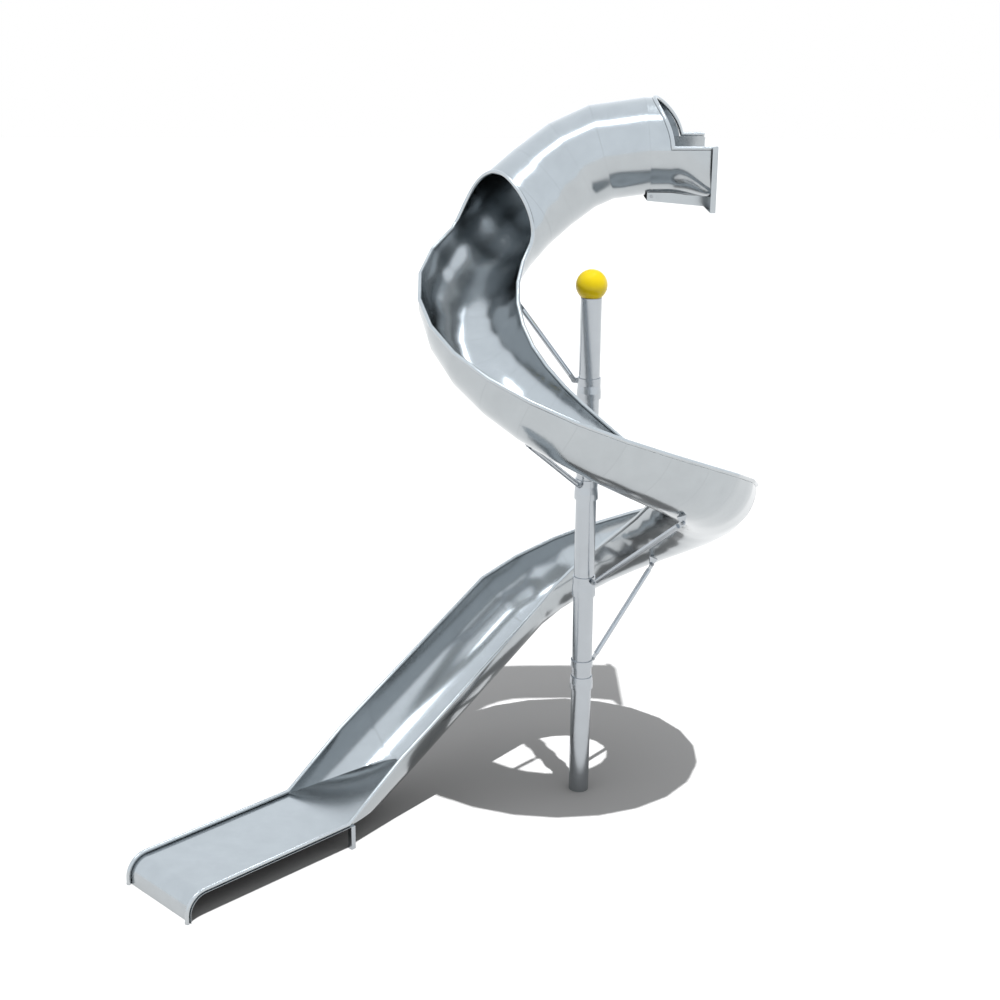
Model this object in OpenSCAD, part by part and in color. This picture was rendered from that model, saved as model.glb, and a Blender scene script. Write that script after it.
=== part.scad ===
// Stainless steel slide: a banked spiral trough round one post, with a closed tube at the start.
// Origin: middle of the post's foot on the ground, +Z up, millimetres.
// The ride starts at the flange, runs towards -X and turns left round the post.

/* [Course] */
// distance from the post axis to the middle of the trough
turn_radius = 965; // [930:5:1000]
// height of the shell's axis at the start flange
start_axis_z = 5375; // [5300:5:5450]
// turn made at every mitre of the spiral, in degrees
turn_step = 15; // [15:15:15]
// length of the level start piece
start_len = 525; // [505:5:600]
// length of the first sloping piece, seen from above
ease_len_1 = 370; // [300:5:420]
// length of the second sloping piece, seen from above
ease_len_2 = 240; // [200:5:300]
// slope of the first sloping piece, in degrees
ease_slope_1 = 8; // [6:0.5:11]
// slope of the second sloping piece, in degrees
ease_slope_2 = 24.5; // [20:0.5:27]
// slope of the turning part of the tube, in degrees
tube_slope = 34.5; // [33:0.5:35]
// slope of the first open pieces, in degrees
upper_slope = 29; // [28:0.5:30]
// slope of the middle open pieces, in degrees
middle_slope = 27.9; // [27.3:0.2:28.5]
// slope of the last open pieces, in degrees
lower_slope = 29.2; // [28.6:0.2:29.8]
// slope of the straight piece, in degrees
straight_slope = 28.8; // [28:0.2:30]
// tilt of the upper trough towards the post, in degrees
bank = 4.6; // [0:0.2:6]
// tilt of the lower trough towards the post, in degrees
lower_bank = 2.2; // [0:0.2:5]

/* [Shell] */
// outer radius of the round shell
shell_r = 390; // [382:1:396]
// thickness of the steel sheet
sheet = 3; // [2:0.5:4]
// facets in half a turn of the shell
half_facets = 30; // [20:2:40]
// outer radius of the edge tube
rim_r = 17; // [14:0.5:19]
// wall of the edge tube
rim_wall = 2.5; // [1.5:0.5:4]
// sides of the edge tube
rim_sides = 12; // [10:2:16]
// gap left at curved seats
seat_gap = 0.3; // [0.2:0.1:0.6]

/* [Hood ends] */
// distance from the flange to the hood, mean of both feet
entry_back = 285; // [260:5:300]
// half the difference between the two feet
entry_skew = 80; // [0:5:90]
// how far the top of the entry hood lies behind its feet
entry_lean = 200; // [100:5:200]
// roundness of the entry hood's edge, 1 is a flat cut
entry_round = 1.9; // [1.5:0.1:2.2]
// how far the top of the mouth lies up the slope from its feet
mouth_lean = 350; // [250:5:380]
// roundness of the mouth's edge, 1 is a flat cut
mouth_round = 0.8; // [0.7:0.05:1]
// height of the outer wall of the start above the axis
outer_wall_up = 45; // [20:5:60]
// steps in each hood edge
arch_steps = 16; // [12:2:20]

/* [Start end] */
// how far the start flange reaches beyond the shell on each side
flange_side = 60; // [50:1:80]
// thickness of the start flange
flange_t = 8; // [6:1:12]
// depth of the fold round the flange
flange_fold = 36; // [20:1:50]
// thickness of that fold
fold_t = 4; // [3:1:6]
// height of the flange above the axis of the shell
flange_up = 36; // [36:1:50]
// how far the flange reaches below the shell
flange_below = 100; // [94:1:130]
// radius of the flange holes
flange_hole_r = 9; // [6:0.5:11]
// distance of the flange holes from the shell's sides
flange_hole_side = 30; // [27:1:35]
// distance between the flange holes in height
flange_hole_h = 385; // [370:5:395]
// height of the upper flange holes below the axis
flange_hole_down = 50; // [40:1:60]
// squareness of the shell at the flange, 1 is round
square_end = 0.34; // [0.3:0.02:0.6]
// length over which the shell turns from square to round
square_len = 350; // [300:10:420]
// width of the folded apron below the start
apron_w = 300; // [280:5:360]
// thickness of the apron
apron_t = 4; // [3:0.5:6]
// depth of the apron below the shell, at the flange
apron_below_1 = 88; // [75:1:89]
// depth of the apron below the shell, at its far end
apron_below_2 = 40; // [32:1:60]
// distance between the apron's end and the first mitre
apron_short = 8; // [5:1:15]
// distance of the apron's bolts from its end
apron_bolt_x = 36; // [24:1:50]
// height of the apron's bolts above its lower edge
apron_bolt_z = 36; // [30:1:40]

/* [Run-out] */
// height of the run-out bed
bed_z = 205; // [190:1:240]
// length from the start of the run-out to the face of the lip
bed_len = 2150; // [2000:10:2300]
// how far the bed reaches beyond the shell on each side
bed_side = 22; // [18:1:25]
// distance at which the side walls have run out
wall_end = 580; // [560:5:620]
// distance over which the bed starts ahead of the walls' fall
bed_lead = 320; // [320:1:320]
// radius of the bed's upward curve
bed_curve = 3250; // [3200:10:3300]
// outer radius of the bend at the lip
lip_r = 150; // [120:5:170]
// width of a run-out leg
leg_w = 42; // [36:1:46]
// wall of a run-out leg
leg_wall = 3; // [2:0.5:4]

/* [Post] */
// outer radius of the post
post_r = 84.15; // [80:0.05:90]
// wall of the post
post_wall = 5; // [4:0.5:8]
// thickness of the plate that closes the post's foot
foot_t = 10; // [8:1:16]
// height of the post
post_top = 4290; // [4250:5:4330]
// heights of the four joints, lowest first
joint_z1 = 975; // [955:5:995]
// height of the second joint
joint_z2 = 1815; // [1795:5:1835]
// height of the third joint
joint_z3 = 2660; // [2645:5:2675]
// height of the top joint
joint_z4 = 3505; // [3490:5:3520]
// length of the collar below the joint
collar_low = 25; // [20:1:40]
// length of the collar above the joint
collar_high = 85; // [70:1:85]
// thickness of the collar
collar_t = 13; // [10:1:16]
// thickness of the collar at its upper end
collar_thin = 7; // [5:1:9]
// length of the collar's straight part above the joint
collar_straight = 25; // [20:1:35]
// thickness of the ledge between two post lengths
ledge_t = 6; // [4:1:8]
// radius of the ball
ball_r = 125; // [118:1:132]
// height of the ball's middle above the post
ball_up = 103; // [98:1:108]
// thickness of the plug's head
plug_t = 6; // [4:1:8]
// length of the plug inside the post
plug_len = 60; // [40:5:90]

/* [Braces] */
// outer radius of a brace
brace_r = 21.2; // [17:0.1:24]
// wall of a brace
brace_wall = 3; // [2:0.5:4]
// thickness of the tongues, lugs and brackets
tab_t = 8; // [6:1:10]
// rounding of the tab ends
tab_r = 22; // [20:1:26]
// how much less the tongues are rounded than the lugs
tongue_less = 2; // [1:1:4]
// distance from the bolt to the end of the brace tube
tongue = 52; // [48:1:60]
// radius of the brace bolts
bolt_r = 8; // [6:1:9]
// radius over the corners of bolt heads and nuts
head_r = 13.9; // [12:0.1:15]
// thickness of bolt heads and nuts
head_t = 10; // [8:1:12]
// height of a clamp on the post
clamp_h = 60; // [50:2:64]
// height of the lowest clamp above its joint
low_clamp = 205; // [130:5:300]
// thickness of a clamp
clamp_t = 9; // [7:1:12]
// distance from the post axis to the lower bolt of a brace
lug_reach = 124; // [120:1:150]
// gap between the shell and the upper bolt of a brace
hang = 50; // [46:1:75]
// gap between the brackets and the shell's lines from mitre to mitre
bracket_gap = 1.1; // [1.1:0.1:1.5]
// half the angle of the shell that a bracket covers, in degrees
bracket_span = 8; // [6:1:13]
// thickness of the plates that close the ends of a brace
cap_t = 4; // [3:1:6]
// length of the bolts that stands out of their nuts
bolt_out = 4; // [3:1:6]

/* [Hidden] */
$fn = 64;
steel = [0.75, 0.77, 0.79];
zinc = [0.62, 0.64, 0.66];
yellow = [0.95, 0.82, 0.02];

// The course: straight pieces between mitre stations, 30 pieces and 31 stations.
arc_first = 3;
arc_last = 28;
last_st = 30;
piece_c = 2 * turn_radius * tan(turn_step / 2);
inner_r = shell_r - sheet;
edge_r = shell_r - sheet / 2;
flange_w = 2 * (shell_r + flange_side);
flange_down = shell_r + flange_below;
flange_hole_w = 2 * (shell_r + flange_hole_side);
apron_down_1 = shell_r + apron_below_1;
apron_down_2 = shell_r + apron_below_2;
bed_w = 2 * (shell_r + bed_side);
rim_up = rim_r + seat_gap;
function unit(v) = v / norm(v);
function heading(k) = 180 + turn_step * (k > arc_last ? arc_last - 1 : k < arc_first ? 0 : k - 2);
function slope(k) = k == 0 ? 0 : k == 1 ? ease_slope_1 : k == 2 ? ease_slope_2
    : k < 6 ? tube_slope : k < 11 ? upper_slope : k < 21 ? middle_slope
    : k <= arc_last ? lower_slope : straight_slope;
function plan_len(k) = k == 0 ? start_len : k == 1 ? ease_len_1 : k == 2 ? ease_len_2 : piece_c;
function drop_to(k) = k == 0 ? 0 : drop_to(k - 1) + plan_len(k - 1) * tan(slope(k - 1));
end_z = bed_z + inner_r;
straight_len = (start_axis_z - drop_to(last_st - 1) - end_z) / tan(straight_slope);
function flat_len(k) = k == last_st - 1 ? straight_len - bed_lead : plan_len(k);
function step(k) = flat_len(k) * [cos(heading(k)), sin(heading(k)), -tan(slope(k))];
start_x = start_len + ease_len_1 + ease_len_2 - piece_c / 2;
N = [for (k = 0, p = [start_x, turn_radius, start_axis_z]; k <= last_st; p = p + step(k), k = k + 1) p];
TAN = [for (k = [0:last_st - 1]) unit(step(k))];
run_head = heading(last_st - 1);
run_dir = [cos(run_head), sin(run_head), 0];
PLANE = [for (k = [0:last_st]) k == 0 ? TAN[0] : k == last_st ? run_dir : unit(TAN[k - 1] + TAN[k])];
LAT = [for (p = PLANE) unit([p.y, -p.x, 0])];
UPV = [for (k = [0:last_st]) cross(LAT[k], PLANE[k])];
full_bank = [5, 16];
low_bank = 21;
function bank_at(k) = k == last_st ? 0
    : lookup(k, [[2, 0], [full_bank[0], bank], [full_bank[1], bank], [low_bank, lower_bank]]);
U = [for (k = [0:last_st]) LAT[k] * cos(bank_at(k)) + UPV[k] * sin(bank_at(k))];
V = [for (k = [0:last_st]) UPV[k] * cos(bank_at(k)) - LAT[k] * sin(bank_at(k))];

// A point of the cross-section, u outwards and v up, laid on the mitre plane of station k.
function at(k, u, v) = let(w = u * U[k] + v * V[k], t = TAN[min(k, last_st - 1)])
    N[k] + w * norm(w) / norm(w - (w * t) * t);
function arc(k, r, a0, a1, n, open = 1) =
    [for (i = [0:n - 1 + open]) let(a = a0 + (a1 - a0) * i / n) at(k, r * cos(a), r * sin(a))];
function half(k, r) = arc(k, r, 0, -180, half_facets);
function full(k, r) = arc(k, r, 0, -360, 2 * half_facets, 0);

// A body between two grids of points: rows along the course, columns round the section.
module grid_body(front, back, closed = false) {
    rows = len(front);
    cols = len(front[0]);
    last = closed ? cols - 1 : cols - 2;
    m = rows * cols;
    function id(r, c) = r * cols + c % cols;
    function quad(a, b, c, d) = [[a, b, c], [a, c, d]];
    points = concat([for (r = front) each r], [for (r = back) each r]);
    skin = [for (r = [0:rows - 2], c = [0:last])
        each quad(id(r, c), id(r + 1, c), id(r + 1, c + 1), id(r, c + 1))];
    lining = [for (f = skin) [m + f[0], m + f[2], m + f[1]]];
    ends = [for (c = [0:last])
        each concat(quad(id(0, c), id(0, c + 1), m + id(0, c + 1), m + id(0, c)),
            quad(id(rows - 1, c), m + id(rows - 1, c), m + id(rows - 1, c + 1), id(rows - 1, c + 1)))];
    sides = closed ? [] : [for (r = [0:rows - 2])
        each concat(quad(id(r, 0), m + id(r, 0), m + id(r + 1, 0), id(r + 1, 0)),
            quad(id(r, cols - 1), id(r + 1, cols - 1), m + id(r + 1, cols - 1), m + id(r, cols - 1)))];
    polyhedron(points, concat(skin, lining, ends, sides));
}
module trough(a, b) color(steel)
    grid_body([for (k = [a:b]) half(k, shell_r)], [for (k = [a:b]) half(k, inner_r)]);

// The edge tube: a ring carried along the path and laid on every mitre plane in turn.
function path_plane(p, i) = i == 0 ? unit(p[1] - p[0])
    : i == len(p) - 1 ? unit(p[i] - p[i - 1]) : unit(unit(p[i] - p[i - 1]) + unit(p[i + 1] - p[i]));
function carry(ring, p, i, n) = let(t = unit(p[i] - p[i - 1]))
    [for (q = ring) q + t * (((p[i] - q) * n) / (t * n))];
function first_ring(p, r, n0) = let(t = unit(p[1] - p[0]),
    a = unit(cross(t, abs(t.z) > 0.9 ? [1, 0, 0] : [0, 0, 1])), b = cross(t, a))
    [for (i = [0:rim_sides - 1]) let(w = (i + 0.5) * 360 / rim_sides, q = r * (a * cos(w) + b * sin(w)))
        p[0] + q - t * ((q * n0) / (t * n0))];
function rings(p, r, n0, n1) = [for (i = 0, ring = first_ring(p, r, n0); i < len(p); i = i + 1,
    ring = i < len(p) ? carry(ring, p, i, i == len(p) - 1 ? n1 : path_plane(p, i)) : ring) ring];
function cut(list, a, b) = [for (i = [a:b]) list[i]];
module tube_run(outer, inner, a, b) color(steel)
    grid_body(cut(outer, a, b), cut(inner, a, b), closed = true);

// Start end: half shell turning from square to round, its rims, hood, flange and apron.
function ease(x) = x * x * (3 - 2 * x);
function squareness(x) = square_end + (1 - square_end) * ease(min(1, x / square_len));
outer_a = asin(outer_wall_up / shell_r);
function sq_row(x, r) = concat([[start_x - x, turn_radius + r * cos(outer_a), start_axis_z + outer_wall_up]],
    [for (i = [0:half_facets]) let(a = 180 * i / half_facets, e = squareness(x))
        [start_x - x, turn_radius + r * sign(cos(a)) * pow(abs(cos(a)), e),
            start_axis_z - r * pow(sin(min(a, 180 - a)), e)]]);
function start_end(r) = concat([at(1, r * cos(outer_a), outer_wall_up)], half(1, r));
square_rows = 6;
start_rows = [for (i = [0:square_rows]) square_len * i / square_rows];
module start_trough() color(steel) {
    grid_body(concat([for (x = start_rows) sq_row(x, shell_r)], [start_end(shell_r)]),
        concat([for (x = start_rows) sq_row(x, inner_r)], [start_end(inner_r)]));
}
function hood_x(a) = start_x - entry_back + entry_skew * cos(a)
    - entry_lean * pow(max(0, sin(a)), entry_round);
function hood_a(i, n) = 180 - (180 - outer_a) * i / n;
function hood_row(r) = [for (i = [0:half_facets]) let(a = hood_a(i, half_facets))
    [hood_x(a), turn_radius + r * cos(a), i == half_facets ? start_axis_z + outer_wall_up
        : start_axis_z + r * sin(a)]];
function hood_end(r) = [for (i = [0:half_facets]) let(a = hood_a(i, half_facets))
    at(1, r * cos(a), i == half_facets ? outer_wall_up : r * sin(a))];
module entry_hood() color(steel)
    grid_body([hood_row(shell_r), hood_end(shell_r)], [hood_row(inner_r), hood_end(inner_r)]);
chord_gap = 1.5;
function hood_turn(a) = entry_skew * sin(a)
    + entry_lean * entry_round * pow(max(0, sin(a)), entry_round - 1) * cos(a);
function entry_off(a) = rim_up * norm([shell_r, hood_turn(a)]) / shell_r + chord_gap;
function entry_edge(a, up) = [hood_x(a) + entry_off(a), turn_radius + edge_r * cos(a), start_axis_z + up];
outer_rim_z = outer_wall_up + rim_up;
entry_path = concat([[start_x, turn_radius + edge_r * cos(outer_a), start_axis_z + outer_rim_z],
    entry_edge(outer_a, outer_rim_z)],
    [for (i = [2:arch_steps - 1]) let(a = 180 * i / arch_steps) entry_edge(a, edge_r * sin(a))],
    [entry_edge(180, rim_up), [start_x, turn_radius - edge_r, start_axis_z + rim_up]]);
ENTRY = rings(entry_path, rim_r, [1, 0, 0], [1, 0, 0]);
ENTRY_IN = rings(entry_path, rim_r - rim_wall, [1, 0, 0], [1, 0, 0]);
module entry_rim() tube_run(ENTRY, ENTRY_IN, 0, len(entry_path) - 1);

opening = concat([for (i = [0:half_facets]) let(a = 180 * i / half_facets)
    [inner_r * sign(cos(a)) * pow(abs(cos(a)), square_end), -inner_r * pow(sin(min(a, 180 - a)), square_end)]],
    [[-inner_r, flange_up + 1], [inner_r, flange_up + 1]]);
module flange_frame(w, h_up, h_down)
    translate([-w / 2, -h_down]) square([w, h_up + h_down]);
module start_flange() color(steel)
    translate([start_x, turn_radius, start_axis_z]) rotate([90, 0, 90]) difference() {
        union() {
            linear_extrude(flange_t) flange_frame(flange_w, flange_up, flange_down);
            translate([0, 0, -flange_fold]) linear_extrude(flange_fold) difference() {
                flange_frame(flange_w, flange_up, flange_down);
                translate([0, flange_up + 1])
                    flange_frame(flange_w - 2 * fold_t, 0, flange_up + 1 + flange_down - fold_t);
            }
        }
        translate([0, 0, -1]) linear_extrude(flange_t + 2) polygon(opening);
        for (s = [-1, 1], h = [0, 1])
            translate([s * flange_hole_w / 2, -flange_hole_down - h * flange_hole_h, -1])
                cylinder(r = flange_hole_r, h = flange_t + 2, $fn = 32);
    }

// Height of the shell's outside at sideways distance y, for the apron's upper edges.
function shell_low(x, y) = let(n = 2 / squareness(x)) shell_r * pow(1 - pow(y / shell_r, n), 1 / n);
apron_len = start_len - apron_short;
apron_rows = 8;
apron_gap = 1;
function apron_row(x, inset) = let(y = apron_w / 2 - inset,
    top = start_axis_z - shell_low(x, apron_w / 2 - apron_t) - apron_gap,
    low = start_axis_z - apron_down_1 + (apron_down_1 - apron_down_2) * x / apron_len + inset)
    [[start_x - x, turn_radius + y, top], [start_x - x, turn_radius + y, low],
        [start_x - x, turn_radius - y, low], [start_x - x, turn_radius - y, top]];
module start_apron() color(steel) difference() {
    grid_body([for (i = [0:apron_rows]) apron_row(apron_len * i / apron_rows, 0)],
        [for (i = [0:apron_rows]) apron_row(apron_len * i / apron_rows, apron_t)]);
    apron_axes() translate([0, 0, -1]) cylinder(r = bolt_r + seat_gap, h = apron_t + 2, $fn = 24);
}
module apron_axes() for (s = [-1, 1])
    translate([start_x - apron_len + apron_bolt_x, turn_radius + s * (apron_w / 2 - apron_t),
        start_axis_z - apron_down_2 + apron_bolt_z]) rotate([-s * 90, 0, 0]) children();
module apron_bolts() color(zinc) apron_axes() {
    translate([0, 0, apron_t]) cylinder(r = head_r, h = head_t, $fn = 6);
    translate([0, 0, -head_t]) cylinder(r = bolt_r, h = head_t + apron_t, $fn = 24);
}

// Closed tube with its slanted mouth.
mouth_st = 6;
mouth_strip = 0.08;
function along(f, u, v) = let(k = floor(f - 0.0001)) at(k, u, v) + (at(k + 1, u, v) - at(k, u, v)) * (f - k);
function mouth_f(a) = mouth_st - mouth_lean * cos(tube_slope) / piece_c * pow(max(0, sin(a)), mouth_round);
function lean_pt(a, r) = along(mouth_f(a), r * cos(a), r * sin(a));
function mouth_row(r, back) = [for (i = [0:2 * half_facets - 1]) let(a = -180 * i / half_facets)
    along(min(back > 0 ? mouth_st - 1 : mouth_st, mouth_f(a) - back), r * cos(a), r * sin(a))];
module tube_upper() color(steel)
    grid_body([for (k = [1:3]) full(k, shell_r)], [for (k = [1:3]) full(k, inner_r)], closed = true);
module tube_lower() color(steel)
    grid_body(concat([full(3, shell_r), full(4, shell_r)], [for (b = [mouth_strip, 0]) mouth_row(shell_r, b)]),
        concat([full(3, inner_r), full(4, inner_r)], [for (b = [mouth_strip, 0]) mouth_row(inner_r, b)]),
        closed = true);

// Run-out: the walls of the round shell fall away where they meet the rising bed.
run_zero = [N[last_st].x, N[last_st].y, 0] + bed_lead * run_dir;
function run_pt(t, y, z) = run_zero + t * run_dir + y * [-run_dir.y, run_dir.x, 0] + [0, 0, z];
function axis_z(t) = end_z - t * tan(straight_slope);
function plate_z(t) = bed_z + pow(max(0, wall_end - t), 2) / (2 * bed_curve);
function wall_z(t) = t < 0 ? axis_z(t) : end_z + (bed_z - end_z) * t / wall_end;
wall_cols = 12;
flat_cols = 6;
function lift(t, z, r) = asin(max(-1, min(1, (z - axis_z(t)) * cos(straight_slope) / r)));
function wall_pt(t, r, a, s) = run_pt(t, s * r * cos(a), axis_z(t) + r * sin(a) / cos(straight_slope));
function run_row(t, r, down) = let(top = lift(t, wall_z(t), r), low = lift(t, plate_z(t) - down, r),
    half_w = r * cos(low))
    concat([for (i = [0:wall_cols]) wall_pt(t, r, top + (low - top) * i / wall_cols, -1)],
        [for (i = [1:flat_cols - 1]) run_pt(t, half_w * (2 * i / flat_cols - 1), plate_z(t) - down)],
        [for (i = [0:wall_cols]) wall_pt(t, r, low + (top - low) * i / wall_cols, 1)]);
bed_before = 10;
bed_start = wall_end - bed_before;
lead_rows = 4;
fall_rows = 7;
lip_facets = 16;
run_rows = concat([for (i = [0:lead_rows]) bed_lead * (i / lead_rows - 1)],
    [for (i = [1:fall_rows]) bed_start * i / fall_rows]);
module run_out_transition() color(steel)
    grid_body([for (t = run_rows) run_row(t, shell_r, sheet)], [for (t = run_rows) run_row(t, inner_r, 0)]);
function bend(r, n) = [for (i = [0:n]) let(a = 90 - 90 * i / n)
    [bed_len - lip_r + r * cos(a), bed_z - lip_r + r * sin(a)]];
bed_section = concat([[bed_start, bed_z]], bend(lip_r, lip_facets), [[bed_len, 0], [bed_len - sheet, 0]],
    [for (i = [lip_facets:-1:0]) bend(lip_r - sheet, lip_facets)[i]], [[bed_start, bed_z - sheet]]);
module run_frame() translate(run_zero) rotate([0, 0, run_head]) children();
module run_out_bed() color(steel)
    run_frame() translate([0, bed_w / 2, 0]) rotate([90, 0, 0]) linear_extrude(bed_w) polygon(bed_section);
module leg(s) color(steel) run_frame()
    translate([wall_end - leg_w / 2, s * (bed_w - leg_w) / 2, 0]) difference() {
        translate([-leg_w / 2, -leg_w / 2, 0]) cube([leg_w, leg_w, bed_z - sheet]);
        translate([-leg_w / 2 + leg_wall, -leg_w / 2 + leg_wall, -1])
            cube([leg_w - 2 * leg_wall, leg_w - 2 * leg_wall, bed_z - sheet - leg_wall + 1]);
    }
module legs() {
    leg(-1);
    leg(1);
}

// Path of the edge tube: outer side uphill, over the mouth, inner side downhill.
lip_steps = 8;
wall_fall = atan((end_z - bed_z) / wall_end);
run_side = concat([[0, end_z + rim_up / cos((wall_fall + straight_slope) / 2)],
    [wall_end + rim_up * tan(wall_fall / 2), bed_z + rim_up]],
    [for (i = [0:lip_steps]) let(a = 90 - 90 * i / lip_steps)
        [bed_len - lip_r + (lip_r + rim_up) * cos(a), bed_z - lip_r + (lip_r + rim_up) * sin(a)]],
    [[bed_len + rim_up, 0]]);
run_n = len(run_side);
function run_rim(s) = [for (q = run_side) run_pt(q[0], s * edge_r, q[1])];
function edge_at(k, s) = at(k, s * edge_r, rim_up);
function mouth_edge(a) = let(c = lean_pt(a, edge_r), g = lean_pt(a + 1, edge_r) - lean_pt(a - 1, edge_r),
    d = unit(cross(g, c - lean_pt(a, inner_r / 2)))) c + d * (rim_up + 0.5) * sign(d * TAN[mouth_st]);
function mouth_foot(s) = edge_at(mouth_st, s) + TAN[mouth_st] * 1.5 * rim_up;
outer_list = run_rim(-1);
rim_path = concat([for (i = [run_n - 1:-1:0]) outer_list[i]], [for (k = [last_st:-1:7]) edge_at(k, 1)],
    [mouth_foot(1)], [for (i = [1:arch_steps - 1]) mouth_edge(180 * i / arch_steps)], [mouth_foot(-1)],
    [for (k = [7:last_st]) edge_at(k, -1)], run_rim(1));
down = [0, 0, 1];
RIM = rings(rim_path, rim_r, down, down);
RIM_IN = rings(rim_path, rim_r - rim_wall, down, down);
foot_out = run_n + last_st - 6;
foot_in = foot_out + arch_steps;
function out_id(k) = run_n + last_st - k;
function in_id(k) = foot_in + k - 6;
module outer_rim(a, b) tube_run(RIM, RIM_IN, out_id(b), out_id(a));
module inner_rim(a, b) tube_run(RIM, RIM_IN, in_id(a), in_id(b));
module mouth_rim() tube_run(RIM, RIM_IN, foot_out - 1, foot_in + 1);
module outer_rim_run_out() tube_run(RIM, RIM_IN, 0, run_n);
module inner_rim_run_out() tube_run(RIM, RIM_IN, in_id(last_st), len(rim_path) - 1);

// Post: lengths of tube that stand on the ledges of the collars.
JOINTS = [joint_z1, joint_z2, joint_z3, joint_z4];
module pipe(r, wall, h) difference() {
    cylinder(r = r, h = h);
    translate([0, 0, -1]) cylinder(r = r - wall, h = h + 2);
}
module post_length(a, b) color(steel) translate([0, 0, a]) pipe(post_r, post_wall, b - a);
function post_low(i) = i == 0 ? 0 : JOINTS[i - 1] + ledge_t / 2;
function post_high(i) = i == 4 ? post_top : JOINTS[i] - ledge_t / 2;
module post_part(i) post_length(post_low(i), post_high(i));
module post_foot() color(steel) union() {
    post_part(0);
    cylinder(r = post_r - post_wall / 2, h = foot_t);
}
collar_in = post_r + seat_gap;
module collar(i) color(steel) translate([0, 0, JOINTS[i]]) rotate_extrude()
    polygon([[post_r - post_wall, -ledge_t / 2], [collar_in, -ledge_t / 2], [collar_in, -collar_low],
        [collar_in + collar_t, -collar_low], [collar_in + collar_t, collar_straight],
        [collar_in + collar_thin, collar_high], [collar_in, collar_high], [collar_in, ledge_t / 2],
        [post_r - post_wall, ledge_t / 2]]);
plug_top = post_top + plug_t;
module post_plug() color(zinc) {
    translate([0, 0, post_top]) cylinder(r = post_r, h = plug_t);
    translate([0, 0, post_top - plug_len]) cylinder(r = post_r - post_wall - seat_gap, h = plug_len);
}
module ball() color(yellow) difference() {
    translate([0, 0, post_top + ball_up]) sphere(r = ball_r, $fn = 48);
    translate([-ball_r, -ball_r, plug_top - 2 * ball_r]) cube([2 * ball_r, 2 * ball_r, 2 * ball_r]);
}

// Braces: [piece of the course, angle of the seat on the shell, height of the lower bolt].
on_collar = collar_high + clamp_h / 2;
BRACES = [[22.5, 238, joint_z1 + low_clamp], [16.5, 284, joint_z2 + on_collar],
    [11.8, 258, joint_z3 + on_collar], [7, 203, joint_z4 + on_collar]];
function az(b) = heading(b[0]) - 90;
function side_dir(b) = [-sin(az(b)), cos(az(b)), 0];
function out_dir(b) = [cos(az(b)), sin(az(b)), 0];
function plane_hit(p, q, n, d) = p + (q - p) * ((d - p * n) / ((q - p) * n));
function station_pt(k, r, a) = at(k, r * cos(a), r * sin(a));
function on_shell(b, a, d, r) = let(n = side_dir(b),
    k = [for (i = [floor(b[0]) - 1:floor(b[0]) + 3]) if (station_pt(i + 1, r, a) * n > d) i][0])
    plane_hit(station_pt(k, r, a), station_pt(k + 1, r, a), n, d);
function tip(b) = let(q = on_shell(b, b[1], 0, shell_r + hang)) [q * out_dir(b), q.z];
function root(b) = [lug_reach, b[2]];
function rise(b) = let(d = tip(b) - root(b)) atan2(d[1], d[0]);
function reach(b) = norm(tip(b) - root(b));
module brace_frame(b) translate([0, 0, b[2]]) rotate([0, 0, az(b)])
    translate([lug_reach, 0, 0]) rotate([0, -rise(b), 0]) children();
tongue_r = tab_r - tongue_less;
module tab(len, y) translate([0, y, 0]) rotate([90, 0, 0]) linear_extrude(tab_t) {
    circle(r = tongue_r, $fn = 32);
    translate([0, -tongue_r]) square([len, 2 * tongue_r]);
}
module bolt_hole(b, at_x) brace_frame(b) translate([at_x, 5 * tab_t, 0]) rotate([90, 0, 0])
    cylinder(r = bolt_r + seat_gap, h = 10 * tab_t, $fn = 24);
module brace(b) color(steel) difference() {
    brace_frame(b) {
        tab(tongue + cap_t / 2, tab_t / 2);
        translate([reach(b), 0, 0]) rotate([0, 180, 0]) tab(tongue + cap_t / 2, tab_t / 2);
        translate([tongue, 0, 0]) rotate([0, 90, 0]) {
            pipe(brace_r, brace_wall, reach(b) - 2 * tongue);
            cylinder(r = brace_r, h = cap_t);
            translate([0, 0, reach(b) - 2 * tongue - cap_t]) cylinder(r = brace_r, h = cap_t);
        }
    }
    bolt_hole(b, 0);
    bolt_hole(b, reach(b));
}
module clamp(b) color(steel) difference() {
    union() {
        translate([0, 0, b[2] - clamp_h / 2]) cylinder(r = collar_in + clamp_t, h = clamp_h);
        translate([0, 0, b[2]]) rotate([0, 0, az(b)]) translate([0, tab_t * 1.5, 0]) rotate([90, 0, 0])
            linear_extrude(tab_t) {
                translate([lug_reach, 0]) circle(r = tab_r, $fn = 32);
                translate([collar_in, -tab_r]) square([lug_reach - collar_in, 2 * tab_r]);
            }
    }
    translate([0, 0, b[2] - clamp_h]) cylinder(r = collar_in, h = 2 * clamp_h);
    bolt_hole(b, 0);
}
fan = 4;
tip_span = 96;
function seat_row(b, d) = [for (i = [-fan:fan])
    on_shell(b, b[1] + bracket_span * i / fan, d, shell_r + bracket_gap)];
function tip_row(b, d) = let(q = on_shell(b, b[1], d, shell_r), c = tip(b),
    w = atan2(c[1] - q.z, c[0] - q * out_dir(b)))
    [for (i = [-fan:fan]) let(a = w + tip_span * i / fan)
        c[0] * out_dir(b) + tab_r * cos(a) * out_dir(b) + d * side_dir(b) + [0, 0, c[1] + tab_r * sin(a)]];
module bracket(b) color(steel) difference() {
    grid_body([seat_row(b, tab_t / 2), seat_row(b, tab_t * 1.5)],
        [tip_row(b, tab_t / 2), tip_row(b, tab_t * 1.5)]);
    bolt_hole(b, reach(b));
}
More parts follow.
